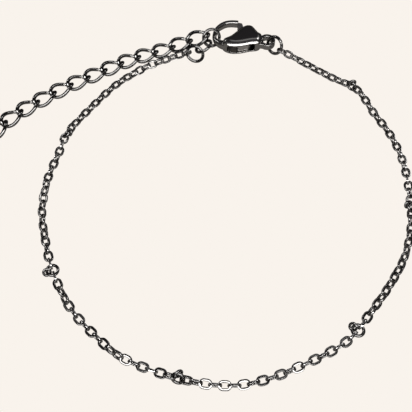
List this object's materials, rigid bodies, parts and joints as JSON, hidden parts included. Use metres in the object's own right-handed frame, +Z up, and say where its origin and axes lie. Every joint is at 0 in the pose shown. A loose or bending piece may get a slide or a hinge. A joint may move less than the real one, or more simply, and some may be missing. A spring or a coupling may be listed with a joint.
{
  "type": "cable chain bracelet",
  "caption": "Closed fine cable chain bracelet in polished dark steel, with small ring pairs along it, a lobster clasp and a curb chain extender.",
  "frame": {"origin": "middle of the footprint, on the surface that the bracelet lies on", "axes": "+Z up from the surface; +X across the loop, from the extender's free end towards the chain; +Y across the loop towards the clasp"},
  "size_m": [0.0712, 0.0678, 0.0033],
  "materials": {
    "chain_steel": "polished dark stainless steel with fine scratches",
    "ring_steel": "polished dark stainless steel wire",
    "clasp_steel": "mirror polished dark stainless steel, brushed on its sides"
  },
  "bodies": {
    "bracelet": {"chain_run_1": "chain_steel", "chain_run_2": "chain_steel", "chain_run_3": "chain_steel", "chain_run_4": "chain_steel", "chain_run_5": "chain_steel", "chain_run_6": "chain_steel", "chain_run_7": "chain_steel", "station_1_ring_a": "ring_steel", "station_1_ring_b": "ring_steel", "station_2_ring_a": "ring_steel", "station_2_ring_b": "ring_steel", "station_3_ring_a": "ring_steel", "station_3_ring_b": "ring_steel", "station_4_ring_a": "ring_steel", "station_4_ring_b": "ring_steel", "station_5_ring_a": "ring_steel", "station_5_ring_b": "ring_steel", "station_6_ring_a": "ring_steel", "station_6_ring_b": "ring_steel", "clasp_ring": "ring_steel", "end_ring_1": "ring_steel", "end_ring_2": "ring_steel", "end_ring_3": "ring_steel", "extender_link_01": "ring_steel", "extender_link_02": "ring_steel", "extender_link_03": "ring_steel", "extender_link_04": "ring_steel", "extender_link_05": "ring_steel", "extender_link_06": "ring_steel", "extender_link_07": "ring_steel", "extender_link_08": "ring_steel", "extender_link_09": "ring_steel", "extender_link_10": "ring_steel", "extender_link_11": "ring_steel", "extender_link_12": "ring_steel", "extender_link_13": "ring_steel", "extender_link_14": "ring_steel", "clasp_body": "clasp_steel", "lever_pin": "clasp_steel"},
    "lever": {"clasp_lever": "clasp_steel"}
  },
  "joints": [
    {"name": "lever_hinge", "type": "hinge", "parent": "bracelet", "child": "lever", "pos_m": [0.01034, 0.02987, 0.0015], "axis": [0, 0, 1], "range_deg": [0, 25], "stiffness_Nm_per_rad": 0.01}
  ]
}
